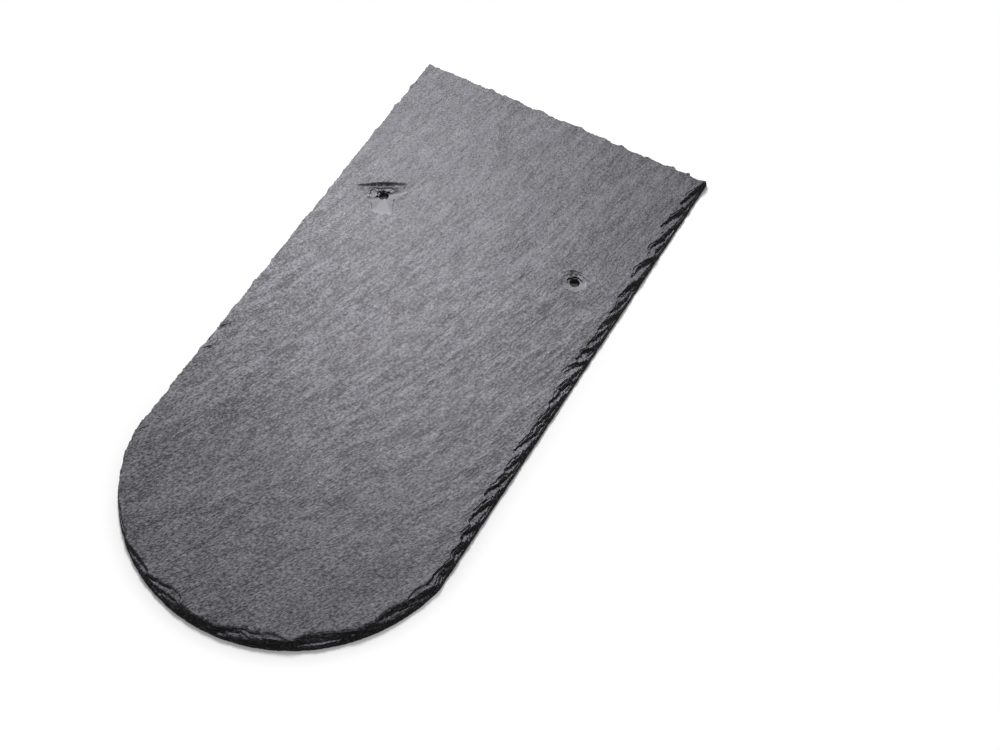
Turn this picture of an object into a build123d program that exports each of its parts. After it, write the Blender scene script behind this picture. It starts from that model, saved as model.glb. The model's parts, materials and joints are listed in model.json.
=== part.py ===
"""Round-tailed slate roof tile, one riven and dressed piece of slate with two punched nail holes.

The tile lies flat on its bed. X runs across it, +Y points to the nailed head, and +Z out of the
weathered face. The origin is the middle of the bed. All sizes are in millimetres.
"""

import math
import os

from build123d import *

# Plan of the tile
LENGTH = 400.0
WIDTH = 200.0
TAIL_RISE = 82.0

# Section of the tile, with the dressed edge sloping out from the face to an upright arris on the bed
THICKNESS = 6.0
ARRIS_HEIGHT = 1.8
DRESSED_WIDTH = 4.4

# Flakes struck off the dressed edge, each a gouge that dips from the face to leave the edge at a height
# over the bed. On the sides they lean to the head, and at the head they go below the bed and nick it.
FLAKE_PITCH = 17.0
FLAKE_REACH = 7.8
FLAKE_RADIUS = 22.0
FLAKE_LEAN = 0.45
FLAKE_EXIT_HEIGHT = 2.0
HEAD_FLAKE_EXIT_HEIGHT = -0.4
FLAKE_PLACE_SPREAD = 0.6
FLAKE_REACH_SPREAD = 0.25
FLAKE_RADIUS_SPREAD = 0.35

# Nail holes, punched from the bed so that each bursts out in a crater on the face
HOLE_DIAMETER = 6.0
HOLE_SPACING = 133.0
HOLE_FROM_HEAD = 108.0
LEFT_CRATER_DIAMETER = 18.0
RIGHT_CRATER_DIAMETER = 14.0
CRATER_ANGLE = 140.0

HEAD_Y = LENGTH / 2
TIP_Y = -LENGTH / 2
SHOULDER_Y = TIP_Y + TAIL_RISE
HOLE_Y = HEAD_Y - HOLE_FROM_HEAD
DRESSED_ANGLE = math.degrees(math.atan2(DRESSED_WIDTH, THICKNESS - ARRIS_HEIGHT))
GOLDEN_RATIO = (1 + math.sqrt(5)) / 2


def uneven(count, spread):
    """A factor about 1 that changes from one flake to the next and never settles into a rhythm."""
    return 1 + spread * (2 * (count * GOLDEN_RATIO % 1) - 1)


def flake(edge, along, exit_height, count):
    """The plane, radius and length of the gouge that strikes one flake at a place along an edge."""
    outward = (edge % along).rotate(Axis.Z, -90)
    headward = Vector(0, 1, 0)
    lean = (headward - outward * headward.dot(outward)) * FLAKE_LEAN
    reach = FLAKE_REACH * uneven(count, FLAKE_REACH_SPREAD)
    radius = FLAKE_RADIUS * uneven(2 * count, FLAKE_RADIUS_SPREAD)
    run = (outward + lean) * reach + Vector(0, 0, exit_height - THICKNESS)
    exit_point = edge @ along + Vector(0, 0, exit_height)
    level = Vector(0, 0, 1).cross(run)
    upward = run.cross(level).normalized()
    return Plane(exit_point - run + upward * radius, z_dir=run), radius, 2 * (run.length + radius)


with BuildPart() as slate_tile:
    with BuildSketch():
        with BuildLine():
            head = Line((WIDTH / 2, HEAD_Y), (-WIDTH / 2, HEAD_Y))
            left_side = Line(head @ 1, (-WIDTH / 2, SHOULDER_Y))
            tail = ThreePointArc(left_side @ 1, (0, TIP_Y), (WIDTH / 2, SHOULDER_Y))
            right_side = Line(tail @ 1, head @ 0)
        make_face()
    extrude(amount=ARRIS_HEIGHT)

    # Dressed edge, sloping in from the arris to the face all round
    arris_top = slate_tile.faces().sort_by(Axis.Z)[-1]
    extrude(arris_top, amount=THICKNESS - ARRIS_HEIGHT, taper=DRESSED_ANGLE)

    # Flakes, spaced along each edge in turn
    struck = 0
    for edge, exit_height in (
        (head, HEAD_FLAKE_EXIT_HEIGHT),
        (left_side, FLAKE_EXIT_HEIGHT),
        (tail, FLAKE_EXIT_HEIGHT),
        (right_side, FLAKE_EXIT_HEIGHT),
    ):
        flakes_on_edge = round(edge.length / FLAKE_PITCH)
        for place in range(flakes_on_edge):
            along = (place + 0.5 * uneven(3 * struck, FLAKE_PLACE_SPREAD)) / flakes_on_edge
            gouge_plane, gouge_radius, gouge_length = flake(edge, along, exit_height, struck)
            with Locations(gouge_plane):
                Cylinder(gouge_radius, gouge_length, mode=Mode.SUBTRACT)
            struck += 1

    # Nail holes and the craters around them
    for hole_x, crater_diameter in (
        (-HOLE_SPACING / 2, LEFT_CRATER_DIAMETER),
        (HOLE_SPACING / 2, RIGHT_CRATER_DIAMETER),
    ):
        with Locations((hole_x, HOLE_Y, THICKNESS)):
            CounterSinkHole(HOLE_DIAMETER / 2, crater_diameter / 2, counter_sink_angle=CRATER_ANGLE)

slate_tile.part.label = "slate_tile"
os.makedirs("parts", exist_ok=True)
export_step(slate_tile.part, "parts/slate_tile.step")
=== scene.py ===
"""Blender add-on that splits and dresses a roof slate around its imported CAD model, and sets up its studio.

The slate is one closed mesh. Its edge is broken lamina by lamina along the CAD model's dressed slope, with
flakes struck off it, and its nail holes burst out in stepped craters. Its face is riven along a grain that
slants more and more from the head to the tail. Lengths are in metres, in the CAD model's own frame, apart
from those that a comment gives in millimetres.
"""

import json
import math

import bpy
import numpy as np
from mathutils import Matrix, Vector, kdtree
from mathutils.bvhtree import BVHTree
from mathutils.geometry import delaunay_2d_cdt


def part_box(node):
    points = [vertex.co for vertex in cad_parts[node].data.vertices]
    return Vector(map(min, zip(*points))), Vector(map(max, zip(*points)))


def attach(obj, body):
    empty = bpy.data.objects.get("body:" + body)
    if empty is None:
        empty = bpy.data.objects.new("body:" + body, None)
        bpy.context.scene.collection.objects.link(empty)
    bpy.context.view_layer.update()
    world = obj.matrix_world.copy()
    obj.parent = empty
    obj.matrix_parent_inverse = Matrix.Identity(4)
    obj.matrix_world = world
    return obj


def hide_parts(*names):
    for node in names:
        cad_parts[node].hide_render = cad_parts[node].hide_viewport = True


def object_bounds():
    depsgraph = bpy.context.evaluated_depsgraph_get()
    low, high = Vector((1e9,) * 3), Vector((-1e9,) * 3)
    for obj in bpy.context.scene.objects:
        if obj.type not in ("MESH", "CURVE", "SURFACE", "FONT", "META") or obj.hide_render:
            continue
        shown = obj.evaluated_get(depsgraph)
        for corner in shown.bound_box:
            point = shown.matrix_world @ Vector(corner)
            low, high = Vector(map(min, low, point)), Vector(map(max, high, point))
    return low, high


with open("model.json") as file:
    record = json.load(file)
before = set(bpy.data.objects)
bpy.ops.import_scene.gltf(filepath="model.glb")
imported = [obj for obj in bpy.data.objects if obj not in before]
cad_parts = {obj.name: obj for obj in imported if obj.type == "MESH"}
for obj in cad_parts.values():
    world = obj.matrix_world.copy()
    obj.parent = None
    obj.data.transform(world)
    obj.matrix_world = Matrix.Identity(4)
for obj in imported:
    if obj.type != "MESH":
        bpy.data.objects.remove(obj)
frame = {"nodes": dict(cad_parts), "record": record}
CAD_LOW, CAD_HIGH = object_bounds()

bl_info = {
    "name": "Riven Roof Slate",
    "version": (1, 0, 0),
    "blender": (4, 5, 0),
    "location": "View3D > Sidebar > Slate",
    "description": "Splits and dresses a round-tailed roof slate and lights it in a plain studio",
    "category": "Object",
}

MM = 0.001
NODE = "slate_tile"
BODY = "root"

# The grain's slant across the slate at its middle, and half of what the slant loses in a metre to the head
GRAIN_SLANT = 0.345
GRAIN_BEND = 0.56

# The ways to the right of the picture and up it, laid flat on the slate
PICTURE_RIGHT = np.array([0.868, 0.496])
PICTURE_UP = np.array([-0.496, 0.868])

# Thin flakes gone from the face above the nail holes and at places on the left edge, in millimetres. The
# line of a broken end has its points to the right and up in the picture, from the nail hole or the place.
HOLE_SPALLS = {
    "nail_hole_left": {
        "line": ((-16.8, 7.4), (-10.4, 8.0), (-3.3, 9.2), (4.6, 9.0), (14.9, 8.0)),
        "depth": 1.15,
        "batter": 2.0,
        "reach": 6.0,
    },
    "nail_hole_right": {
        "line": ((-6.2, 7.2), (-4.2, 7.9), (-0.2, 8.2), (3.4, 6.6), (6.1, 5.0)),
        "depth": 0.45,
        "batter": 0.5,
        "reach": 3.5,
    },
}
EDGE_SPALLS = (
    ((-95.1, -53.2), ((-3.4, -1.6), (-0.1, 0.2), (3.6, 1.4))),
    ((-95.8, -36.8), ((-4.3, -2.6), (-0.3, 0.4), (4.8, 2.2))),
    ((-95.3, -116.9), ((-2.7, -2.3), (-0.2, 0.4), (3.0, 1.9))),
)
EDGE_SPALL_SIZES = {"depth": 0.5, "batter": 0.5, "reach": 3.0}

# Craters of the nail holes. The rim has angles in degrees, anticlockwise from upwards in the picture, and
# radii in millimetres. Each broken step on the upper side has how far out to the rim it lies and its share of
# the climb. The upper side, which faces away from the lamp, gets the broken ends' painted shade. The third
# entry is how strongly the lower side, which faces the lamp, is painted lighter, a painted highlight, and the
# turn how far both sides are turned, in degrees.
CRATERS = {
    "nail_hole_left": {
        "rim": (
            (0, 5.4), (25, 5.6), (50, 8.6), (90, 8.4), (112, 10.2), (135, 9.4), (160, 15.0), (180, 16.0),
            (198, 16.2), (212, 9.8), (235, 7.4), (258, 8.8), (276, 14.5), (290, 8.0), (325, 6.4),
        ),
        "steps": ((0.2, 0.62), (1.0, 0.3)),
        "highlight_strength": 1.0,
        "turn": 20,
    },
    "nail_hole_right": {
        "rim": (
            (0, 5.6), (40, 6.6), (65, 8.6), (90, 7.4), (135, 7.2), (180, 7.4), (225, 7.4), (270, 7.0),
            (315, 6.2),
        ),
        "steps": ((0.3, 0.66), (1.0, 0.2)),
        "highlight_strength": 0.75,
        "turn": 0,
    },
}


class SlateShapeSettings(bpy.types.PropertyGroup):
    """Sizes of the slate that a user may change."""

    tail_rise: bpy.props.FloatProperty(
        name="Tail rise", description="Height of the round tail from its shoulders to its tip",
        default=82 * MM, unit="LENGTH",
    )
    outline_step: bpy.props.FloatProperty(
        name="Outline step", description="Distance between points along the dressed edge",
        default=0.66 * MM, unit="LENGTH",
    )
    laminae: bpy.props.IntProperty(
        name="Laminae", description="Number of layers that the dressed edge is broken into",
        default=11, min=3, max=24,
    )
    edge_crumble: bpy.props.FloatProperty(
        name="Edge crumble", description="How far the broken laminae stray from the dressed slope",
        default=0.55 * MM, unit="LENGTH",
    )
    edge_nibble: bpy.props.FloatProperty(
        name="Edge nibble", description="How far the outline is nibbled back",
        default=0.9 * MM, unit="LENGTH",
    )
    riven_depth: bpy.props.FloatProperty(
        name="Riven depth", description="Height of the broad undulation of the riven face",
        default=0.07 * MM, unit="LENGTH",
    )
    grain_depth: bpy.props.FloatProperty(
        name="Grain depth", description="Height of the streaks along the grain of the riven face",
        default=0.014 * MM, unit="LENGTH",
    )
    feather_step: bpy.props.FloatProperty(
        name="Feather step", description="Height of the thin steps where layers of the face feather out",
        default=0.018 * MM, unit="LENGTH",
    )
    bed_swell: bpy.props.FloatProperty(
        name="Bed swell", description="Height of the hollows of the bed over the floor",
        default=0.12 * MM, unit="LENGTH",
    )
    face_pitch: bpy.props.FloatProperty(
        name="Face pitch", description="Distance between points of the face, across the grain",
        default=1.0 * MM, unit="LENGTH",
    )
    seed: bpy.props.IntProperty(name="Seed", description="Start of the random draws", default=7)


class SlateFinishSettings(bpy.types.PropertyGroup):
    """Colours and finish of the slate that a user may change."""

    face_colour: bpy.props.FloatVectorProperty(
        name="Face colour", description="Colour of the riven face",
        subtype="COLOR", size=3, default=(0.083, 0.0805, 0.0905), min=0, max=1,
    )
    # Painted shade: the broken ends, the darkened ledges, the spalls and the bores' walls take this
    # near-black colour in place of their shade
    broken_shade_colour: bpy.props.FloatVectorProperty(
        name="Broken colour", description="Colour of the steep broken ends of the laminae",
        subtype="COLOR", size=3, default=(0.028, 0.028, 0.0305), min=0, max=1,
    )
    # Painted highlight: the lower slopes of the craters, which face the lamp, take this light grey in place
    # of their light
    painted_highlight_colour: bpy.props.FloatVectorProperty(
        name="Pale colour", description="Colour of the freshly bruised slopes of the craters",
        subtype="COLOR", size=3, default=(0.235, 0.232, 0.253), min=0, max=1,
    )
    face_roughness: bpy.props.FloatProperty(
        name="Face roughness", description="Roughness of the riven face",
        subtype="FACTOR", default=0.38, min=0, max=1,
    )
    broken_roughness: bpy.props.FloatProperty(
        name="Broken roughness", description="Roughness of the broken ends of the laminae",
        subtype="FACTOR", default=0.75, min=0, max=1,
    )
    face_gloss: bpy.props.FloatProperty(
        name="Face gloss", description="Strength of the face's dull gloss",
        subtype="FACTOR", default=0.205, min=0, max=1,
    )
    broken_gloss: bpy.props.FloatProperty(
        name="Broken gloss", description="Strength of the gloss on the broken ends of the laminae",
        subtype="FACTOR", default=0.04, min=0, max=1,
    )
    gloss_tint: bpy.props.FloatVectorProperty(
        name="Gloss tint", description="Colour of the face's dull gloss",
        subtype="COLOR", size=3, default=(0.94, 0.925, 1.0), min=0, max=1,
    )
    grain_bump: bpy.props.FloatProperty(
        name="Grain bump", description="Height of the finest grain, which is too fine for the mesh",
        default=0.42 * MM, unit="LENGTH",
    )


class StudioSettings(bpy.types.PropertyGroup):
    """Camera, lamp and floor that a user may change."""

    camera_place: bpy.props.FloatVectorProperty(
        name="Camera place", description="Where the camera stands",
        subtype="XYZ", size=3, default=(0.34977, -0.46599, 0.86852), unit="LENGTH",
    )
    camera_forward: bpy.props.FloatVectorProperty(
        name="Camera forward", description="The way the camera looks",
        subtype="DIRECTION", size=3, default=(-0.28064, 0.46627, -0.83895),
    )
    camera_right: bpy.props.FloatVectorProperty(
        name="Camera right", description="The way to the right of the picture",
        subtype="DIRECTION", size=3, default=(0.86492, 0.50181, -0.01043),
    )
    lens: bpy.props.FloatProperty(
        name="Lens", description="Focal length for a sensor 36 mm wide", default=64.957, min=1,
    )
    lamp_place: bpy.props.FloatVectorProperty(
        name="Lamp place", description="Middle of the soft lamp",
        subtype="XYZ", size=3, default=(-0.405, 0.53, 0.8), unit="LENGTH",
    )
    lamp_target: bpy.props.FloatVectorProperty(
        name="Lamp target", description="Point that the soft lamp faces",
        subtype="XYZ", size=3, default=(0.0, 0.0, 0.0), unit="LENGTH",
    )
    lamp_size: bpy.props.FloatProperty(
        name="Lamp size", description="Side of the square soft lamp", default=0.27, unit="LENGTH",
    )
    lamp_power: bpy.props.FloatProperty(
        name="Lamp power", description="Power of the soft lamp", default=13.0, unit="POWER",
    )
    fill_strength: bpy.props.FloatProperty(
        name="Fill strength", description="Strength of the light from all round", default=0.16, min=0,
    )
    floor_colour: bpy.props.FloatVectorProperty(
        name="Floor colour", description="Colour of the plain floor",
        subtype="COLOR", size=3, default=(0.96, 0.96, 0.96), min=0, max=1,
    )
    floor_half: bpy.props.FloatProperty(
        name="Floor half", description="Half the side of the square floor", default=8.0, unit="LENGTH",
    )


class Wire:
    """A socket of a node tree. Operators on it add the Math nodes that they stand for."""

    def __init__(self, tree, socket=None):
        self.tree = tree
        self.socket = socket

    def node(self, kind, settings=None, inputs=None, output=0):
        """Adds a node of any kind, sets its settings, then fills its sockets with values or links."""
        made = self.tree.nodes.new(kind)
        for name, value in (settings or {}).items():
            setattr(made, name, value)
        for name, value in (inputs or {}).items():
            if isinstance(value, Wire):
                self.tree.links.new(value.socket, made.inputs[name])
            else:
                made.inputs[name].default_value = value
        return Wire(self.tree, made.outputs[output] if len(made.outputs) else None)

    def maths(self, operation, *terms):
        """One operation on values."""
        return self.node("ShaderNodeMath", {"operation": operation}, dict(enumerate(terms)))

    def vector_maths(self, operation, inputs, output=0):
        """One operation on vectors or colours."""
        return self.node("ShaderNodeVectorMath", {"operation": operation}, inputs, output)

    def blend(self, other, factor):
        """This colour where factor is 0 and the other one where it is 1."""
        sockets = {"Factor": factor, 6: self, 7: other}
        return self.node("ShaderNodeMix", {"data_type": "RGBA"}, sockets, 2)

    def step(self, low, high):
        """Rises smoothly from 0 at low to 1 at high."""
        settings = {"interpolation_type": "SMOOTHSTEP"}
        return self.node("ShaderNodeMapRange", settings, {"Value": self, "From Min": low, "From Max": high})

    def scaled(self, factor):
        """This colour times one value."""
        return self.vector_maths("SCALE", {0: self, "Scale": factor})

    def __add__(self, other):
        return self.maths("ADD", self, other)

    def __radd__(self, other):
        return self.maths("ADD", other, self)

    def __sub__(self, other):
        return self.maths("SUBTRACT", self, other)

    def __rsub__(self, other):
        return self.maths("SUBTRACT", other, self)

    def __mul__(self, other):
        return self.maths("MULTIPLY", self, other)

    def __rmul__(self, other):
        return self.maths("MULTIPLY", other, self)


def grain_lines(y):
    """How far a line of the grain has strayed across the slate at a place along it, in numbers or wires."""
    return GRAIN_SLANT * y - GRAIN_BEND * y * y


def smooth_step(values, low, high):
    """Rises smoothly from 0 at low to 1 at high."""
    t = np.clip((values - low) / (high - low), 0, 1)
    return t * t * (3 - 2 * t)


def loop_noise(rng, count, length, longest, shortest):
    """Random waves round a closed loop, between two wavelengths, with a spread of 1."""
    waves = np.arange(count // 2 + 1)
    spectrum = np.zeros(count // 2 + 1, complex)
    heard = (waves >= length / longest) & (waves <= length / shortest)
    phases = rng.uniform(0, 2 * math.pi, heard.sum())
    spectrum[heard] = np.exp(1j * phases) / np.maximum(waves[heard], 1) ** 0.5
    values = np.fft.irfft(spectrum, count)
    return values / values.std()


def inside(points, loop):
    """Which points lie inside a closed loop."""
    x, y = points[:, 0], points[:, 1]
    within = np.zeros(len(points), bool)
    for (x1, y1), (x2, y2) in zip(loop, np.roll(loop, -1, axis=0)):
        if y1 != y2:
            crossed = (y1 > y) != (y2 > y)
            within ^= crossed & (x < (x2 - x1) * (y - y1) / (y2 - y1) + x1)
    return within


def between(points, loops):
    """Which points lie inside the first loop and outside the others."""
    kept = inside(points, loops[0])
    for loop in loops[1:]:
        kept &= ~inside(points, loop)
    return kept


def near_loops(points, loops, distance):
    """Which points lie nearer than a distance to the points of the loops."""
    marks = np.concatenate(loops)
    tree = kdtree.KDTree(len(marks))
    for number, (x, y) in enumerate(marks):
        tree.insert((x, y, 0), number)
    tree.balance()
    return np.array([tree.find((x, y, 0))[2] < distance for x, y in points])


class GrainField:
    """Random relief about one wavelength, drawn out along the grain, to be read at any point."""

    CELL = 0.5 * MM
    ACROSS = 512
    ALONG = 1024
    BAND_WIDTH = 0.5
    LEAST = 1e-9

    def __init__(self, rng, across, stretch):
        """across is the wavelength across the grain, and stretch how much longer it is along it."""
        wave_x = np.fft.fftfreq(self.ACROSS, self.CELL)[:, None]
        wave_y = np.fft.fftfreq(self.ALONG, self.CELL)[None, :]
        reach = np.sqrt(wave_x**2 + (stretch * wave_y) ** 2) * across
        reach[0, 0] = self.LEAST
        band = np.exp(-(np.log(reach) ** 2) / self.BAND_WIDTH)
        noise = np.fft.fft2(rng.standard_normal((self.ACROSS, self.ALONG)))
        values = np.fft.ifft2(noise * band).real
        self.values = values / values.std()

    def at(self, x, y):
        """The relief at points of the slate."""
        column = (x - grain_lines(y)) / self.CELL
        row = y / self.CELL
        i, j = np.floor(column).astype(int), np.floor(row).astype(int)
        u, v = column - i, row - j
        i, j = i % self.ACROSS, j % self.ALONG
        i2, j2 = (i + 1) % self.ACROSS, (j + 1) % self.ALONG
        left = self.values[i, j] * (1 - v) + self.values[i, j2] * v
        right = self.values[i2, j] * (1 - v) + self.values[i2, j2] * v
        return left * (1 - u) + right * u


class Spall:
    """A thin flake gone from the face, deepest along its broken end and rising to nothing below it."""

    # Points along the broken end and rows down it
    STEP = 0.35 * MM
    ROWS = 5

    # The least share of the batter that is left at the ends of the line, and the shares that the painted
    # shade fades between
    LEAST_BATTER = 0.12
    SHADE_TOP = 0.1
    SHADE_FOOT = 1.1

    def __init__(self, place, line, depth, batter, reach):
        """line is the top of the broken end, batter how far it slopes out, and reach where its bed ends."""
        self.place = np.array(place)
        across, up = zip(*line)
        self.across = np.array(across) * MM
        self.up = np.array(up) * MM
        self.depth = depth * MM
        self.batter = batter * MM
        self.reach = reach * MM

    def lens(self, across):
        """How deep the broken end is along its line, from 0 at both ends to 1 in the middle."""
        along = np.clip((across - self.across[0]) / (self.across[-1] - self.across[0]), 0, 1)
        return 4 * along * (1 - along)

    def measure(self, x, y):
        """How far across the picture, and how far below the line in it, points of the slate are."""
        spots = np.stack([x, y], -1) - self.place
        across, up = spots @ PICTURE_RIGHT, spots @ PICTURE_UP
        return across, np.interp(across, self.across, self.up) - up

    def drop(self, x, y):
        """How far the face is lowered at points of the slate."""
        across, below = self.measure(x, y)
        drop = self.depth * self.lens(across) * (1 - smooth_step(below, self.batter, self.reach))
        return np.where(below > 0, drop, 0.0)

    def shade(self, x, y):
        """How much painted shade the broken end puts at points of the slate, fading out towards its foot."""
        across, below = self.measure(x, y)
        fade = smooth_step(below, self.SHADE_TOP * self.batter, self.SHADE_FOOT * self.batter)
        return np.where(below > 0, np.sqrt(self.lens(across)) * (1 - fade), 0.0)

    def rows(self):
        """Rows of points down the broken end, from its top to its foot, with their shares of its depth."""
        count = round((self.across[-1] - self.across[0]) / self.STEP)
        across = np.linspace(self.across[0], self.across[-1], count)
        up = np.interp(across, self.across, self.up)
        top = self.place + across[:, None] * PICTURE_RIGHT + up[:, None] * PICTURE_UP
        batter = self.batter * (self.LEAST_BATTER + (1 - self.LEAST_BATTER) * self.lens(across))
        shares = np.linspace(0, 1, self.ROWS)
        return [(top - share * batter[:, None] * PICTURE_UP, share) for share in shares]


class RivenFace:
    """Height of the riven face over or under the level of the CAD face."""

    # Wavelength across the grain, and how much longer it is along the grain
    SWELL = (60 * MM, 1.6)
    LAYERS = (11 * MM, 1.6)
    RAGGED = (3.2 * MM, 1.6)
    STREAKS = (3.6 * MM, 1.8)

    # How ragged the ends of the layers are, and the share of a layer's width that is level before it rises
    RAGGED_SHARE = 0.25
    FEATHER_START = 0.55

    def __init__(self, shape, spalls, rng):
        self.shape = shape
        self.spalls = spalls
        self.swell = GrainField(rng, *self.SWELL)
        self.layers = GrainField(rng, *self.LAYERS)
        self.ragged = GrainField(rng, *self.RAGGED)
        self.streaks = GrainField(rng, *self.STREAKS)

    def relief(self, x, y):
        """The relief at points of the slate before any flake is gone."""
        shape = self.shape
        rise = self.layers.at(x, y) + self.RAGGED_SHARE * self.ragged.at(x, y)
        whole = np.floor(rise)
        feathered = whole + smooth_step(rise - whole, self.FEATHER_START, 1.0)
        relief = shape.riven_depth * self.swell.at(x, y)
        relief += shape.feather_step * feathered
        relief += shape.grain_depth * self.streaks.at(x, y)
        return relief

    def height(self, x, y):
        """The relief at points of the slate, with the face's level as 0."""
        return self.relief(x, y) - sum(spall.drop(x, y) for spall in self.spalls)

    def shade(self, x, y):
        """How much painted shade the spalls' broken ends put at points of the slate."""
        return sum(spall.shade(x, y) for spall in self.spalls)


class Outline:
    """Points round the outline of the bed, anticlockwise from the right end of the head, with the way in
    from each of them. The sides are numbered 0 head, 1 left side, 2 tail and 3 right side."""

    # How far from a corner the way in turns towards its mitre, and values run into the next side's
    MITRE = 32 * MM
    BLEND = 14 * MM

    def __init__(self, shape):
        low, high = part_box(NODE)
        half, head_y, tip_y = high.x, high.y, low.y
        rise = shape.tail_rise
        radius = (half**2 + rise**2) / (2 * rise)
        swing = math.acos(1 - rise / radius)
        shoulder_y = tip_y + rise
        kink = math.tan((math.pi / 2 - swing) / 2)
        square = math.tan(math.pi / 4)

        def straight(start, end):
            start, end = np.array(start), np.array(end)
            length = np.linalg.norm(end - start)
            along = (end - start) / length
            return length, lambda s: (start + s[:, None] * along, np.tile(along, (len(s), 1)))

        def round_tail(s):
            angle = s / radius - swing
            points = np.stack([radius * np.sin(angle), tip_y + radius - radius * np.cos(angle)], 1)
            return points, np.stack([np.cos(angle), np.sin(angle)], 1)

        edges = (
            (straight((half, head_y), (-half, head_y)), square, square),
            (straight((-half, head_y), (-half, shoulder_y)), square, kink),
            ((2 * swing * radius, round_tail), kink, kink),
            (straight((half, shoulder_y), (half, head_y)), kink, square),
        )
        points, outwards, ways, sides, runs = [], [], [], [], []
        run = 0.0
        for side, ((length, place), start_turn, end_turn) in enumerate(edges):
            count = round(length / shape.outline_step)
            s = np.arange(count) / count * length
            spots, along = place(s)
            inward = np.stack([-along[:, 1], along[:, 0]], 1)
            mitre = start_turn * np.clip(1 - s / self.MITRE, 0, 1)
            mitre -= end_turn * np.clip(1 - (length - s) / self.MITRE, 0, 1)
            points.append(spots)
            outwards.append(-inward)
            ways.append(inward + along * mitre[:, None])
            sides.append(np.full(count, side))
            runs.append(run + s)
            run += length
        self.points = np.concatenate(points)
        self.outward = np.concatenate(outwards)
        self.ways = np.concatenate(ways)
        self.sides = np.concatenate(sides)
        self.runs = np.concatenate(runs)
        self.length = run
        self.count = len(self.points)

    def inset(self, distance):
        """The points moved in by a distance each."""
        return self.points + self.ways * distance[:, None]

    def spread(self, values):
        """One value for each side, running smoothly into the next one at the corners."""
        return self.smoothed(np.choose(self.sides, values).astype(float), self.BLEND)

    def smoothed(self, values, reach):
        """Values round the outline, each averaged with its neighbours within a reach."""
        near = round(reach / self.length * self.count)
        window = np.hanning(2 * near + 1)
        padded = np.concatenate([values[-near:], values, values[:near]])
        return np.convolve(padded, window / window.sum(), "valid")


class CadSlope:
    """The CAD surface along the way in from each point of the outline."""

    REACH = 17 * MM
    STEP = 0.3 * MM
    ABOVE = 50 * MM
    LEAST_RISE = 1e-9

    def __init__(self, outline):
        node = frame["nodes"][NODE]
        corners = [vertex.co.copy() for vertex in node.data.vertices]
        tree = BVHTree.FromPolygons(corners, [list(face.vertices) for face in node.data.polygons])
        self.distances = np.arange(0, self.REACH, self.STEP)
        heights = np.zeros((outline.count, len(self.distances)))
        down = Vector((0, 0, -1))
        for column, distance in enumerate(self.distances):
            spots = outline.inset(np.full(outline.count, distance))
            for row, (x, y) in enumerate(spots):
                hit = tree.ray_cast(Vector((x, y, self.ABOVE)), down)[0]
                heights[row, column] = hit.z if hit else 0.0
        self.heights = np.maximum.accumulate(heights, axis=1)

    def distance_to(self, level):
        """How far in from each point of the outline the surface comes up to a level."""
        reached = self.heights >= level
        reached[:, -1] = True
        column = reached.argmax(axis=1)
        rows = np.arange(len(reached))
        before = np.maximum(column - 1, 0)
        low, high = self.heights[rows, before], self.heights[rows, column]
        share = np.clip((level - low) / np.maximum(high - low, self.LEAST_RISE), 0, 1)
        return self.distances[before] + share * (self.distances[column] - self.distances[before])


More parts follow.
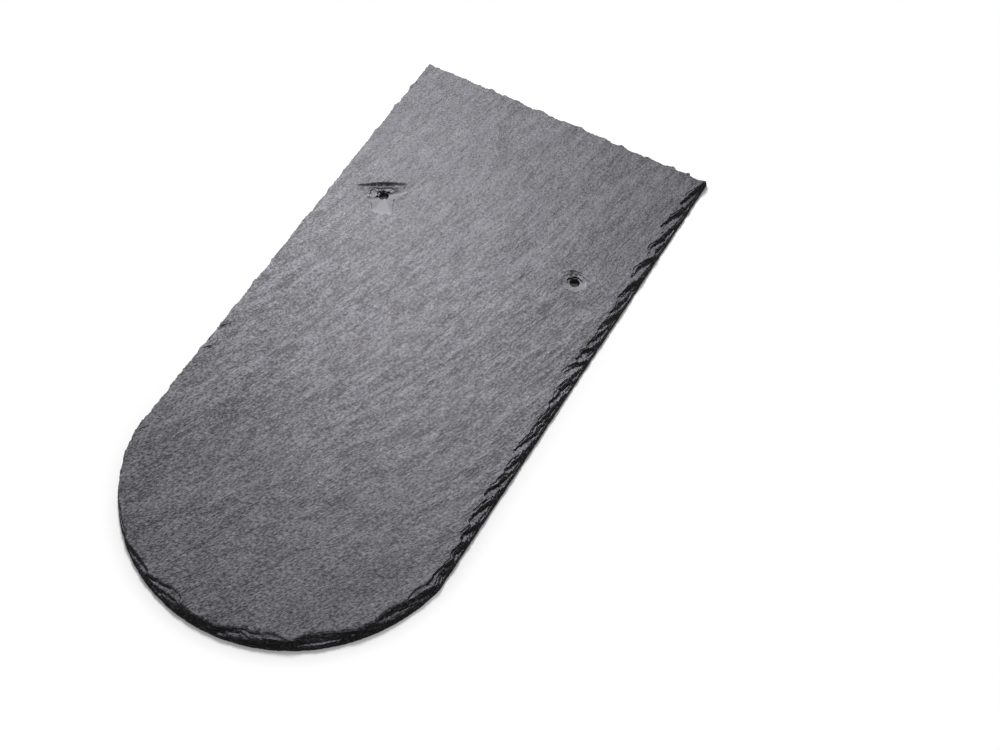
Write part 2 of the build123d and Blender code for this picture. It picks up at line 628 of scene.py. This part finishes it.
class SlateMesh:
    """Collects the points, faces and masks of the slate, and makes its mesh."""

    # How level the normals of a broken end and of a ledge are
    STEEP = (0.86, 0.97)
    SHARP_ANGLE = math.radians(32)
    MERGE = 1e-9

    def __init__(self):
        self.points = []
        self.faces = []
        self.broken = []
        self.painted_highlight = []
        self.smooth = []
        self.count = 0

    def add_points(self, plan, heights):
        """Adds points and returns their numbers."""
        plan = np.asarray(plan)
        self.points.append(np.column_stack([plan, np.broadcast_to(heights, len(plan))]))
        self.count += len(plan)
        return np.arange(self.count - len(plan), self.count)

    def plans(self, rows):
        """The plans of rows of points that were added."""
        every = np.concatenate(self.points)
        return [every[row, :2] for row in rows]

    def add_faces(self, faces, broken, painted_highlight, smooth):
        """Adds faces with their masks, each one value or one for every face."""
        self.faces.extend(tuple(int(corner) for corner in face) for face in faces)
        for masks, value in ((self.broken, broken), (self.painted_highlight, painted_highlight), (self.smooth, smooth)):
            masks.append(np.broadcast_to(np.asarray(value, float), len(faces)))

    def steepness(self, lower, upper):
        """How steep the faces of a ring are, from 0 for a flat ledge to 1 for a broken end."""
        every = np.concatenate(self.points)
        along = every[np.roll(lower, -1)] - every[lower]
        normals = np.cross(along, every[upper] - every[lower])
        level = np.abs(normals[:, 2]) / np.linalg.norm(normals, axis=1)
        return 1 - smooth_step(level, *self.STEEP)

    def strip(self, lower, upper, broken, painted_highlight=0.0, smooth=False):
        """Joins two closed rows of points with a ring of faces."""
        faces = list(zip(lower, np.roll(lower, -1), np.roll(upper, -1), upper))
        self.add_faces(faces, broken, painted_highlight, smooth)

    def sheet(self, loops, creases, plan, heights, facing, shade):
        """Fills the space in the first loop and outside the others, over creases and points in between.
        facing is 1 for up and -1 for down, and shade gives the faces' share of the broken ends' painted
        shade."""
        inner = self.add_points(plan, heights)
        numbers = np.concatenate([*loops, *creases, inner])
        every = np.concatenate(self.points)[numbers]
        places = every[:, :2]
        edges, rings = [], []
        start = 0
        for row, closed in [(loop, True) for loop in loops] + [(crease, False) for crease in creases]:
            order = np.arange(start, start + len(row))
            ends = np.roll(order, -1)
            edges.extend(zip(order[: None if closed else -1].tolist(), ends.tolist()))
            rings.append(places[order])
            start += len(row)
        spots = [Vector(spot) for spot in places]
        _, _, found, sources, _, _ = delaunay_2d_cdt(spots, edges, [], 0, self.MERGE)
        if len(sources) != len(places):
            raise RuntimeError("The outline of the slate crosses itself, so its face can't be filled")
        corners = np.array(found)
        middles = places[corners].mean(axis=1)
        kept = between(middles, rings[: len(loops)])
        corners, middles = corners[kept], middles[kept]
        a, b, c = (every[corners[:, k]] for k in range(3))
        turned = np.cross(b - a, c - a)[:, 2] * facing < 0
        corners[turned] = corners[turned][:, ::-1]
        self.add_faces(numbers[corners], shade(middles[:, 0], middles[:, 1]), 0.0, True)

    def finish(self, name):
        """Makes the mesh object."""
        mesh = bpy.data.meshes.new(name)
        mesh.from_pydata(np.concatenate(self.points).tolist(), [], self.faces)
        if mesh.validate():
            raise RuntimeError("The slate's mesh has faulty faces")
        for attribute, masks in (("broken", self.broken), ("painted_highlight", self.painted_highlight)):
            values = np.concatenate(masks).astype(np.float32)
            mesh.attributes.new(attribute, "FLOAT", "FACE").data.foreach_set("value", values)
        mesh.polygons.foreach_set("use_smooth", np.concatenate(self.smooth) > 0.5)
        mesh.set_sharp_from_angle(angle=self.SHARP_ANGLE)
        made = bpy.data.objects.new(name, mesh)
        bpy.context.scene.collection.objects.link(made)
        return made


class DressedEdge:
    """The broken edge of the slate. Rows of four numbers are for the head, the left side, the tail and the
    right side, and pairs of wavelengths are in millimetres."""

    # How far each side is nibbled back, as a share, and how much of that is even, in waves and in fine teeth
    NIBBLE = (0.5, 0.36, 0.25, 0.22)
    NIBBLE_EVEN = 0.6
    NIBBLE_WAVES = (26, 7)
    NIBBLE_WAVE_SHARE = 0.45
    NIBBLE_TEETH = (6, 1.8)
    NIBBLE_TEETH_SHARE = 0.3
    NIBBLE_MOST = 2

    # Thickness of the laminae, as shares of an even one
    LAMINA_SPREAD = (0.65, 1.35)

    # Length of a flake in millimetres, and the least and most of its depth that it has, as shares. One whose
    # share falls below 0 is no flake. The spreads are of its length, and of the way to the next flake in it.
    FLAKE_LENGTHS = (14, 16, 26, 19)
    FLAKE_LEAST = (0.2, 0.2, -0.3, 0.35)
    FLAKE_MOST = 1.4
    FLAKE_LENGTH_SPREAD = (0.6, 1.5)
    FLAKE_GAP_SPREAD = (0.75, 1.1)

    # Tiers of flakes. Each has the shares of the slate's height that a flake goes down to at its thin end and
    # at its thick end, and how deep its flakes are in millimetres. A flake is deepest and thinnest at the end
    # that is nearer to the bottom of the picture.
    FLAKE_TIERS = (
        (0.5, 0.15, (1.6, 1.6, 0.0, 1.0)),
        (0.86, 0.3, (1.6, 1.6, 1.7, 3.0)),
        (1.0, 0.66, (1.6, 1.6, 2.3, 1.1)),
    )
    FLAKE_SKEW = 0.46
    FLAKE_FALL_SPREAD = 0.15

    # The edge is hewn to a rough slope where it faces down the picture, and split clean elsewhere. Each of
    # these has a value where it is split, one where it is hewn, and the facings that they run between. They
    # are the share of the CAD slope that the laminae step back by, how far their broken ends lean back, and
    # how much painted shade darkens their ledges.
    SLOPE = (0.12, 0.6, (0.1, 0.95))
    LEAN = (0.06 * MM, 0.9 * MM, (-0.1, 0.95))
    LEDGE_PAINTED_SHADE = (0.0, 0.1, (-0.25, 0.6))
    SLOPE_BLEND = 14 * MM

    # How the laminae stray, with a share kept from the one below and a share that is new, and crumble, both
    # growing between two levels over the bed
    STRAY_WAVES = (40, 9)
    STRAY_KEPT = 0.8
    STRAY_NEW = 0.6
    STRAY_SHARE = 0.3
    CRUMBLE_WAVES = (5, 1.6)
    CRUMBLE_SHARE = 0.16
    CRUMBLE_LEVELS = (0.3 * MM, 2.2 * MM)

    # The least step from a lamina's foot to the next one's, and the least ledge on it
    LEAST_STEP = 0.04 * MM
    LEAST_LEDGE = 0.02 * MM

    # Waves in the tops of the laminae, and how sharply a row takes on the face's relief near the face
    TOP_WAVES = (16, 2.5)
    TOP_WAVE_HEIGHT = 0.035 * MM
    TOP_WAVE_MOST = 1.6
    RELIEF_POWER = 3

    def __init__(self, shape, face, outline, rng):
        self.shape = shape
        self.face = face
        self.outline = outline
        self.rng = rng
        self.slope = CadSlope(outline)
        self.facing = outline.smoothed(outline.outward @ -PICTURE_UP, self.SLOPE_BLEND)

    def split_or_hewn(self, split, hewn, facings):
        """Runs from a value where the edge is split clean to one where it is hewn."""
        return split + (hewn - split) * smooth_step(self.facing, *facings)

    def noise(self, wavelengths):
        """Random waves round the outline, between two wavelengths."""
        longest, shortest = wavelengths
        return loop_noise(self.rng, self.outline.count, self.outline.length, longest * MM, shortest * MM)

    def split_levels(self):
        """Heights over the bed of the splits between laminae of uneven thickness."""
        parts = self.rng.uniform(*self.LAMINA_SPREAD, self.shape.laminae)
        return np.concatenate([[0.0], np.cumsum(parts) / parts.sum()]) * CAD_HIGH.z

    def strike_flakes(self):
        """Strikes tiers of flakes round the edge. Returns for each flake the share of the height that it goes
        down to and how far in it reaches, at every point of the outline."""
        rng, outline = self.rng, self.outline
        flakes = []
        for thin_share, thick_share, depths in self.FLAKE_TIERS:
            start = rng.uniform(0, self.FLAKE_LENGTHS[0]) * MM
            while start < outline.length:
                point = np.searchsorted(outline.runs, start, "right") - 1
                side = outline.sides[point]
                length = self.FLAKE_LENGTHS[side] * rng.uniform(*self.FLAKE_LENGTH_SPREAD) * MM
                depth = depths[side] * max(rng.uniform(self.FLAKE_LEAST[side], self.FLAKE_MOST), 0) * MM
                along = (outline.runs - start) % outline.length / length
                skew = outline.outward[point] @ PICTURE_RIGHT
                peak = 0.5 - self.FLAKE_SKEW * skew
                shell = np.clip(np.minimum(along / peak, (1 - along) / (1 - peak)), 0, 1)
                stray = rng.uniform(-self.FLAKE_FALL_SPREAD, self.FLAKE_FALL_SPREAD)
                fall = np.clip(0.5 + skew * (along - 0.5) + stray, 0, 1)
                share = thin_share + (thick_share - thin_share) * fall
                flakes.append((share, depth * np.sin(shell * math.pi / 2)))
                start += length * rng.uniform(*self.FLAKE_GAP_SPREAD)
        return flakes

    def set_feet(self, levels):
        """How far in the foot of each lamina lies: where the outline is nibbled to, a share of the CAD slope
        further in, and further still where a flake goes down to the lamina."""
        outline, top = self.outline, CAD_HIGH.z
        flakes = self.strike_flakes()
        nibbled = self.NIBBLE_EVEN + self.NIBBLE_WAVE_SHARE * self.noise(self.NIBBLE_WAVES)
        nibbled += self.NIBBLE_TEETH_SHARE * self.noise(self.NIBBLE_TEETH)
        nibble = outline.spread(self.NIBBLE) * self.shape.edge_nibble * np.clip(nibbled, 0, self.NIBBLE_MOST)
        sloped = self.split_or_hewn(*self.SLOPE)
        stray = self.noise(self.STRAY_WAVES)
        feet, inset = [], np.zeros(outline.count)
        for level in levels[:-1]:
            stray = self.STRAY_KEPT * stray + self.STRAY_NEW * self.noise(self.STRAY_WAVES)
            crumble = self.STRAY_SHARE * stray + self.CRUMBLE_SHARE * self.noise(self.CRUMBLE_WAVES)
            crumble = crumble * smooth_step(level, *self.CRUMBLE_LEVELS) * self.shape.edge_crumble
            even = outline.smoothed(self.slope.distance_to(level), self.SLOPE_BLEND)
            struck = sum(np.where(share * top <= level, reach, 0.0) for share, reach in flakes)
            inset = np.maximum(nibble + sloped * even + struck + crumble, inset + self.LEAST_STEP)
            feet.append(inset)
        return feet

    def build(self, mesh):
        """Gives each lamina a broken end, which leans back, and a ledge to the foot of the next one. Returns
        the rows of points on the bed and on the face."""
        levels = self.split_levels()
        feet = self.set_feet(levels)
        lean = self.split_or_hewn(*self.LEAN)
        rows, waves = [], 0.0
        for number, foot in enumerate(feet):
            last = number + 1 == len(feet)
            room = lean if last else feet[number + 1] - foot - self.LEAST_LEDGE
            rows.append(self.add_row(mesh, foot, levels[number], waves))
            waves = 0.0
            if not last:
                swing = np.clip(self.noise(self.TOP_WAVES), -self.TOP_WAVE_MOST, self.TOP_WAVE_MOST)
                waves = self.TOP_WAVE_HEIGHT * swing
            rows.append(self.add_row(mesh, foot + np.minimum(lean, room), levels[number + 1], waves))
        # Painted shade: the ledges take some of the broken ends' dark colour where the edge faces down the
        # picture
        ledge_painted_shade = self.split_or_hewn(*self.LEDGE_PAINTED_SHADE)
        for lower, upper in zip(rows, rows[1:]):
            mesh.strip(lower, upper, np.maximum(mesh.steepness(lower, upper), ledge_painted_shade))
        return rows[0], rows[-1]

    def add_row(self, mesh, inset, level, waves):
        """Adds one row of points, which takes on the face's relief as it comes up to the face."""
        plan = self.outline.inset(inset)
        relief = self.face.height(plan[:, 0], plan[:, 1]) * (level / CAD_HIGH.z) ** self.RELIEF_POWER
        return mesh.add_points(plan, level + relief + waves)


class NailHole:
    """A punched nail hole and the ragged crater that it bursts out in on the face."""

    POINTS = 132

    # How ragged the rim, the bore and the steps are: a share, and two wavelengths in radians round the hole
    RAGGED_RIM = (0.03, 1.2, 0.25)
    RAGGED_BORE = (0.04, 2.5, 0.4)
    RAGGED_STEP = (0.06, 1.6, 0.3)

    # The mouth's width in bores, and as shares of the way out to the rim, how far a step slopes and the least
    # that it lies out
    MOUTH = 1.02
    STEP_RUN = 0.05
    LEAST_OUT = 0.03

    # Cosines that the upper side runs in between, and how much of the broken ends' painted shade the bore's
    # wall takes
    UPPER_SIDE = (-0.2, 0.3)
    WALL_PAINTED_SHADE = 0.6

    def __init__(self, place, radius, wall, rim, steps, highlight_strength, turn):
        """wall is the height of the straight wall, and the rest is as CRATERS has it."""
        self.place = np.array(place)
        self.radius = radius
        self.wall = wall
        self.rim = rim
        self.steps = steps
        self.highlight_strength = highlight_strength
        self.turn = turn

    def profile(self):
        """Corners up the broken side: how far out to the rim each one lies, and its share of the climb."""
        slope = (1 - sum(climb for _, climb in self.steps)) / len(self.steps)
        corners = [(0.0, 0.0)]
        climbed = 0.0
        for reach, climb in self.steps:
            corners.append((reach - self.STEP_RUN, climbed + slope))
            climbed += slope + climb
            corners.append((reach, climbed))
        return corners

    def build(self, mesh, face, rng):
        """Builds the wall and the crater. Returns the rings on the bed and on the face."""
        angles = np.arange(self.POINTS) / self.POINTS * 2 * math.pi
        ways = np.stack([np.cos(angles), np.sin(angles)], 1)
        turned = np.degrees(angles - math.atan2(PICTURE_UP[1], PICTURE_UP[0])) % 360

        def ragged(share, longest, shortest):
            return share * loop_noise(rng, self.POINTS, 2 * math.pi, longest, shortest)

        marks, radii = zip(*self.rim)
        rim = np.interp(turned, marks, radii, period=360) * MM * (1 + ragged(*self.RAGGED_RIM))
        upper_side = smooth_step(np.cos(np.radians(turned - self.turn)), *self.UPPER_SIDE)
        bore = self.radius * (1 + ragged(*self.RAGGED_BORE))
        mouth = bore * self.MOUTH
        top = self.place + ways * rim[:, None]
        climb = CAD_HIGH.z + face.height(top[:, 0], top[:, 1]) - self.wall

        # From the bore's mouth up to the rim, with steps on the upper side and an even slope on the other one
        rings = [mesh.add_points(self.place + ways * bore[:, None], 0.0)]
        corners = self.profile()
        last = len(corners) - 1
        for number, (reach, share) in enumerate(corners):
            even = number / last
            out = upper_side * reach + (1 - upper_side) * even
            if 0 < number < last:
                out = np.clip(out + upper_side * ragged(*self.RAGGED_STEP), self.LEAST_OUT, 1)
            spots = self.place + ways * (mouth + (rim - mouth) * out)[:, None]
            climbed = upper_side * share + (1 - upper_side) * even
            rings.append(mesh.add_points(spots, self.wall + climb * climbed))

        # The rings run backwards, so that their faces look into the hole
        for lower, upper in zip(rings, rings[1:]):
            # Painted shade on the wall and on the upper side, which faces away from the lamp, and a painted
            # highlight on the lower side, which faces it
            on_wall = lower is rings[0]
            broken = mesh.steepness(lower, upper) * (self.WALL_PAINTED_SHADE if on_wall else upper_side)
            painted_highlight = np.zeros(self.POINTS) if on_wall else (1 - upper_side) * self.highlight_strength
            broken, painted_highlight = (np.roll(np.flip(mask), -1) for mask in (broken, painted_highlight))
            mesh.strip(lower[::-1], upper[::-1], broken, painted_highlight, smooth=not on_wall)
        return rings[0], rings[-1]


class SLATE_OT_split_tile(bpy.types.Operator):
    """Builds the riven and dressed slate with its nail holes and gives it its finish"""

    bl_idname = "slate.split_tile"
    bl_label = "Split Slate Tile"

    # The room that points of the creases, the face and the bed keep from the rows of points round them
    CREASE_ROOM = 0.4 * MM
    FACE_ROOM = 0.65 * MM
    BED_ROOM = 2 * MM

    # Pitch of the face's points along the grain over the one across it, and how far past the sides the points
    # start, because the grain's slant moves them across
    FACE_STRETCH = 1.75
    FACE_OVERRUN = 0.2

    # Pitch of the bed's points, and the wavelength of its swell across the grain and its stretch along it
    BED_PITCH = 5 * MM
    BED_SWELL = (24 * MM, 2.5)

    def execute(self, context):
        shape = context.scene.slate_shape
        rng = np.random.default_rng(shape.seed)
        holes = {mount["name"]: mount for mount in frame["record"]["mounts"] if mount["name"] in CRATERS}
        spalls = [Spall(holes[name]["pos_m"][:2], **spall) for name, spall in HOLE_SPALLS.items()]
        spalls += [Spall(np.array(place) * MM, line, **EDGE_SPALL_SIZES) for place, line in EDGE_SPALLS]
        face = RivenFace(shape, spalls, rng)
        mesh = SlateMesh()
        bed_row, face_row = DressedEdge(shape, face, Outline(shape), rng).build(mesh)
        bed_loops, face_loops = [bed_row], [face_row]
        for name, mount in holes.items():
            dims = mount["dims"]
            hole = NailHole(mount["pos_m"][:2], dims["r_mm"] * MM, dims["length_mm"] * MM, **CRATERS[name])
            bed_ring, face_ring = hole.build(mesh, face, rng)
            bed_loops.append(bed_ring)
            face_loops.append(face_ring)
        creases = self.add_creases(mesh, face, face_row)
        self.fill_face(mesh, shape, face, face_loops, creases)
        self.fill_bed(mesh, shape, bed_loops, rng)

        tile = mesh.finish("riven_slate_tile")
        tile.data.materials.append(slate_finish(context.scene.slate_finish))
        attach(tile, BODY)
        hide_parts(NODE)
        return {"FINISHED"}

    def add_creases(self, mesh, face, face_row):
        """Adds the rows of points down the broken ends of the spalls, as far as they lie on the face."""
        (edge,) = mesh.plans([face_row])
        creases = []
        for spall in face.spalls:
            for line, share in spall.rows():
                line = line[inside(line, edge) & ~near_loops(line, [edge], self.CREASE_ROOM)]
                x, y = line[:, 0], line[:, 1]
                heights = CAD_HIGH.z + face.relief(x, y) - share * spall.drop(x, y)
                creases.append(mesh.add_points(line, heights))
        return creases

    def fill_face(self, mesh, shape, face, loops, creases):
        """Fills the face with points in rows along the grain, closer across it than along it."""
        pitch = shape.face_pitch
        along = np.arange(CAD_LOW.y, CAD_HIGH.y, self.FACE_STRETCH * pitch)
        across = np.arange(CAD_LOW.x - self.FACE_OVERRUN, CAD_HIGH.x + self.FACE_OVERRUN, pitch)
        x, y = np.meshgrid(across, along)
        x = x + (np.arange(len(along)) % 2)[:, None] * pitch / 2
        spots = np.column_stack([x.ravel() + grain_lines(y.ravel()), y.ravel()])
        marks = mesh.plans(loops)
        spots = spots[between(spots, marks)]
        spots = spots[~near_loops(spots, marks + mesh.plans(creases), self.FACE_ROOM)]
        heights = CAD_HIGH.z + face.height(spots[:, 0], spots[:, 1])
        mesh.sheet(loops, creases, spots, heights, 1, face.shade)

    def fill_bed(self, mesh, shape, loops, rng):
        """Fills the bed with points on a plain grid, a little hollow between its edges."""
        across = np.arange(CAD_LOW.x, CAD_HIGH.x, self.BED_PITCH)
        x, y = np.meshgrid(across, np.arange(CAD_LOW.y, CAD_HIGH.y, self.BED_PITCH))
        spots = np.column_stack([x.ravel(), y.ravel()])
        marks = mesh.plans(loops)
        spots = spots[between(spots, marks)]
        spots = spots[~near_loops(spots, marks, self.BED_ROOM)]
        swell = GrainField(rng, *self.BED_SWELL)
        heights = shape.bed_swell * np.abs(swell.at(spots[:, 0], spots[:, 1]))
        mesh.sheet(loops, [], spots, heights, -1, lambda x, y: np.zeros(len(x)))


# Noises of the slate's finish: how far each is drawn out along the grain, its scale, detail and roughness
SPECKLE = (1.8, 1000, 3, 0.65)
STREAKS = (4.0, 420, 3, 0.6)
BANDS = (5.0, 100, 3, 0.55)
MOTTLE = (1.0, 14, 3, 0.5)

# How much each noise changes the tone of the face, and how much it lifts the bump
SPECKLE_TONE, SPECKLE_LIFT = 8.6, 0.4
STREAK_TONE, STREAK_LIFT = 4.4, 0.5
BAND_TONE, BAND_LIFT = 1.8, 0.6
MOTTLE_TONE = 0.3
BAND_ROUGHNESS = 0.2
# How much less the bump lifts on the painted highlight of the crater slopes
HIGHLIGHT_CALM = 0.8

# How the finish changes along the slate, and the places that it changes between. Away from the tail the face
# is more streaked and less speckled. Its middle is more uneven than its tail, and its head far less so.
TAIL_STREAKS, SPECKLE_LOSS, TAIL_TO_STREAKS = 0.64, 1.2, (-0.17, -0.03)
MIDDLE_GAIN, TAIL_TO_MIDDLE = 0.26, (-0.14, -0.02)
HEAD_LOSS, MIDDLE_TO_HEAD = 0.66, (0.02, 0.15)

# Flecks on the broken ends: how flat they lie, their scale and detail, where they set in, and the tone of the
# ground and how much paler they are
FLECK_FLATNESS = 4
FLECK_SCALE = 520
FLECK_DETAIL = 2
FLECK_EDGE = (0.52, 0.8)
FLECK_GROUND = 0.7
FLECK_GAIN = 4.5


def slate_finish(finish):
    """The riven slate's material: grey streaks along the grain, broken ends painted dark as painted shade,
    crater slopes painted lighter as a painted highlight, and a dull gloss.
    """
    material = bpy.data.materials.new("riven_slate")
    material.use_nodes = True
    tree = material.node_tree
    tree.nodes.clear()
    start = Wire(tree)
    place = start.node("ShaderNodeTexCoord", output="Object")
    x, y, z = (start.node("ShaderNodeSeparateXYZ", inputs={0: place}, output=axis) for axis in "XYZ")
    across = x - grain_lines(y)

    def noise(stretch, scale, detail, roughness):
        drawn = start.node("ShaderNodeCombineXYZ", inputs={"X": across, "Y": y * (1 / stretch), "Z": z})
        sockets = {"Vector": drawn, "Scale": scale, "Detail": detail, "Roughness": roughness}
        return start.node("ShaderNodeTexNoise", inputs=sockets) - 0.5

    def plain(colour):
        return start.node("ShaderNodeCombineColor", inputs=dict(enumerate(colour)))

    def mask(name):
        return start.node("ShaderNodeAttribute", {"attribute_name": name}, output="Fac")

    speckle, streaks, bands, mottle = (noise(*values) for values in (SPECKLE, STREAKS, BANDS, MOTTLE))
    broken, painted_highlight = mask("broken"), mask("painted_highlight")

    streaky = y.step(*TAIL_TO_STREAKS)
    drawn_out = TAIL_STREAKS + (1 - TAIL_STREAKS) * streaky
    strength = 1.0 + MIDDLE_GAIN * y.step(*TAIL_TO_MIDDLE) - HEAD_LOSS * y.step(*MIDDLE_TO_HEAD)
    speckled = (SPECKLE_TONE - SPECKLE_LOSS * streaky) * speckle
    streaked = drawn_out * (STREAK_TONE * streaks + BAND_TONE * bands)
    tone = 1 + strength * (speckled + streaked + MOTTLE_TONE * mottle)
    # Painted highlight: the crater slopes that face the lamp are blended to a lighter grey
    colour = plain(finish.face_colour).scaled(tone).blend(plain(finish.painted_highlight_colour), painted_highlight)
    roughness = finish.face_roughness + BAND_ROUGHNESS * bands
    lift = SPECKLE_LIFT * speckle + drawn_out * (STREAK_LIFT * streaks + BAND_LIFT * bands)
    height = lift * (1 - HIGHLIGHT_CALM * painted_highlight)
    bump = start.node("ShaderNodeBump", inputs={"Distance": finish.grain_bump, "Height": height})
    riven = start.node(
        "ShaderNodeBsdfPrincipled",
        inputs={
            "Base Color": colour, "Roughness": roughness, "Normal": bump,
            "Specular IOR Level": finish.face_gloss, "Specular Tint": (*finish.gloss_tint, 1),
        },
    )

    # The broken ends are painted near-black, a painted shade, with paler flecks that lie flat along the
    # laminae
    laid = start.node("ShaderNodeCombineXYZ", inputs={"X": x, "Y": y, "Z": z * FLECK_FLATNESS})
    sockets = {"Vector": laid, "Scale": FLECK_SCALE, "Detail": FLECK_DETAIL}
    flecks = start.node("ShaderNodeTexNoise", inputs=sockets)
    fleck_tone = FLECK_GROUND + FLECK_GAIN * flecks.step(*FLECK_EDGE)
    ends = start.node(
        "ShaderNodeBsdfPrincipled",
        inputs={
            "Base Color": plain(finish.broken_shade_colour).scaled(fleck_tone), "Normal": bump,
            "Roughness": finish.broken_roughness, "Specular IOR Level": finish.broken_gloss,
        },
    )
    surface = start.node("ShaderNodeMixShader", inputs={0: broken, 1: riven, 2: ends})
    start.node("ShaderNodeOutputMaterial", inputs={"Surface": surface})
    return material


def shown_rays(start):
    """1 for the rays that show the background: seen straight, in a gloss or through glass."""
    rays = ("Camera", "Glossy", "Transmission")
    seen, glossy, through = (start.node("ShaderNodeLightPath", output=f"Is {ray} Ray") for ray in rays)
    return seen + glossy + through


class SLATE_OT_set_studio(bpy.types.Operator):
    """Sets up the floor, the soft lamp, the light all round and the camera"""

    bl_idname = "slate.set_studio"
    bl_label = "Set Up Studio"

    # The floor lies just under the bed, and its shadow fades to white between two distances from the slate
    FLOOR_HEIGHT = -0.05 * MM
    SHADOW_FADE = (-4 * MM, 12 * MM)
    SENSOR_WIDTH = 36
    WHITE = (1, 1, 1, 1)

    def execute(self, context):
        scene = context.scene
        studio = scene.slate_studio
        scene.view_settings.view_transform = "Standard"
        self.lay_floor(scene, studio)
        self.hang_lamp(scene, studio)
        self.light_world(scene, studio)
        self.place_camera(scene, studio)
        return {"FINISHED"}

    def lay_floor(self, scene, studio):
        """Lays the plain floor, which shows as white apart from the slate's shadow."""
        half, height = studio.floor_half, self.FLOOR_HEIGHT
        mesh = bpy.data.meshes.new("floor")
        corners = [(x * half, y * half, height) for x, y in ((-1, -1), (1, -1), (1, 1), (-1, 1))]
        mesh.from_pydata(corners, [], [(0, 1, 2, 3)])
        floor = bpy.data.objects.new("floor", mesh)
        scene.collection.objects.link(floor)
        material = bpy.data.materials.new("plain_floor")
        material.use_nodes = True
        material.node_tree.nodes.clear()
        start = Wire(material.node_tree)
        laid = start.node("ShaderNodeBsdfDiffuse", inputs={"Color": (*studio.floor_colour, 1)})
        white = start.node("ShaderNodeEmission", inputs={"Color": self.WHITE, "Strength": 1.0})
        shown = self.away_from_slate(start).step(*self.SHADOW_FADE) * shown_rays(start)
        surface = start.node("ShaderNodeMixShader", inputs={0: shown, 1: laid, 2: white})
        start.node("ShaderNodeOutputMaterial", inputs={"Surface": surface})
        mesh.materials.append(material)

    def away_from_slate(self, start):
        """How far a point of the floor lies outside the slate, with its tail taken as half round."""
        radius = CAD_HIGH.x
        tail_middle = (0, CAD_LOW.y + radius, 0)
        place = start.node("ShaderNodeNewGeometry", output="Position")
        spine = start.vector_maths("MULTIPLY", {0: place, 1: (0, 1, 0)})
        along = start.vector_maths("LENGTH", {0: spine}, "Value")
        spine = start.vector_maths("MAXIMUM", {0: spine, 1: tail_middle})
        away = start.vector_maths("DISTANCE", {0: place, 1: spine}, "Value")
        return start.maths("MAXIMUM", away - radius, along - CAD_HIGH.y)

    def hang_lamp(self, scene, studio):
        """Hangs the one soft lamp."""
        lamp = bpy.data.lights.new("soft_lamp", "AREA")
        lamp.shape = "SQUARE"
        lamp.size = studio.lamp_size
        lamp.energy = studio.lamp_power
        hung = bpy.data.objects.new("soft_lamp", lamp)
        scene.collection.objects.link(hung)
        place, target = Vector(studio.lamp_place), Vector(studio.lamp_target)
        turn = (target - place).to_track_quat("-Z", "Y").to_matrix().to_4x4()
        hung.matrix_world = Matrix.Translation(place) @ turn

    def light_world(self, scene, studio):
        """Lights the slate from all round, and shows white behind it."""
        world = bpy.data.worlds.new("studio")
        world.use_nodes = True
        world.node_tree.nodes.clear()
        start = Wire(world.node_tree)

        def background(strength):
            return start.node("ShaderNodeBackground", inputs={"Color": self.WHITE, "Strength": strength})

        fill, white = background(studio.fill_strength), background(1.0)
        mixed = start.node("ShaderNodeMixShader", inputs={0: shown_rays(start), 1: fill, 2: white})
        start.node("ShaderNodeOutputWorld", inputs={"Surface": mixed})
        scene.world = world

    def place_camera(self, scene, studio):
        """Places the camera where it sees the slate from the right of its tail."""
        camera = bpy.data.cameras.new("camera")
        camera.lens = studio.lens
        camera.sensor_width = self.SENSOR_WIDTH
        holder = bpy.data.objects.new("camera", camera)
        scene.collection.objects.link(holder)
        back = -Vector(studio.camera_forward).normalized()
        right = Vector(studio.camera_right).normalized()
        up = back.cross(right)
        turn = Matrix((right, up, back)).transposed().to_4x4()
        holder.matrix_world = Matrix.Translation(Vector(studio.camera_place)) @ turn
        scene.camera = holder


class SLATE_PT_panel(bpy.types.Panel):
    """Sizes, finish and studio of the slate"""

    bl_idname = "SLATE_PT_panel"
    bl_label = "Roof Slate"
    bl_space_type = "VIEW_3D"
    bl_region_type = "UI"
    bl_category = "Slate"

    def draw(self, context):
        scene = context.scene
        for groups, operator in (
            ((scene.slate_shape, scene.slate_finish), SLATE_OT_split_tile),
            ((scene.slate_studio,), SLATE_OT_set_studio),
        ):
            for settings in groups:
                box = self.layout.box()
                for name in settings.bl_rna.properties.keys():
                    if name not in {"rna_type", "name"}:
                        box.prop(settings, name)
            self.layout.operator(operator.bl_idname)


CLASSES = (
    SlateShapeSettings,
    SlateFinishSettings,
    StudioSettings,
    SLATE_OT_split_tile,
    SLATE_OT_set_studio,
    SLATE_PT_panel,
)


def register():
    """Registers the classes and hangs their settings on the scene."""
    for made in CLASSES:
        bpy.utils.register_class(made)
    bpy.types.Scene.slate_shape = bpy.props.PointerProperty(type=SlateShapeSettings)
    bpy.types.Scene.slate_finish = bpy.props.PointerProperty(type=SlateFinishSettings)
    bpy.types.Scene.slate_studio = bpy.props.PointerProperty(type=StudioSettings)


def unregister():
    """Takes the settings off the scene and unregisters the classes."""
    del bpy.types.Scene.slate_studio
    del bpy.types.Scene.slate_finish
    del bpy.types.Scene.slate_shape
    for made in reversed(CLASSES):
        bpy.utils.unregister_class(made)


def main():
    """Builds the slate, then its studio."""
    register()
    bpy.ops.slate.split_tile()
    bpy.ops.slate.set_studio()


if __name__ == "__main__":
    main()
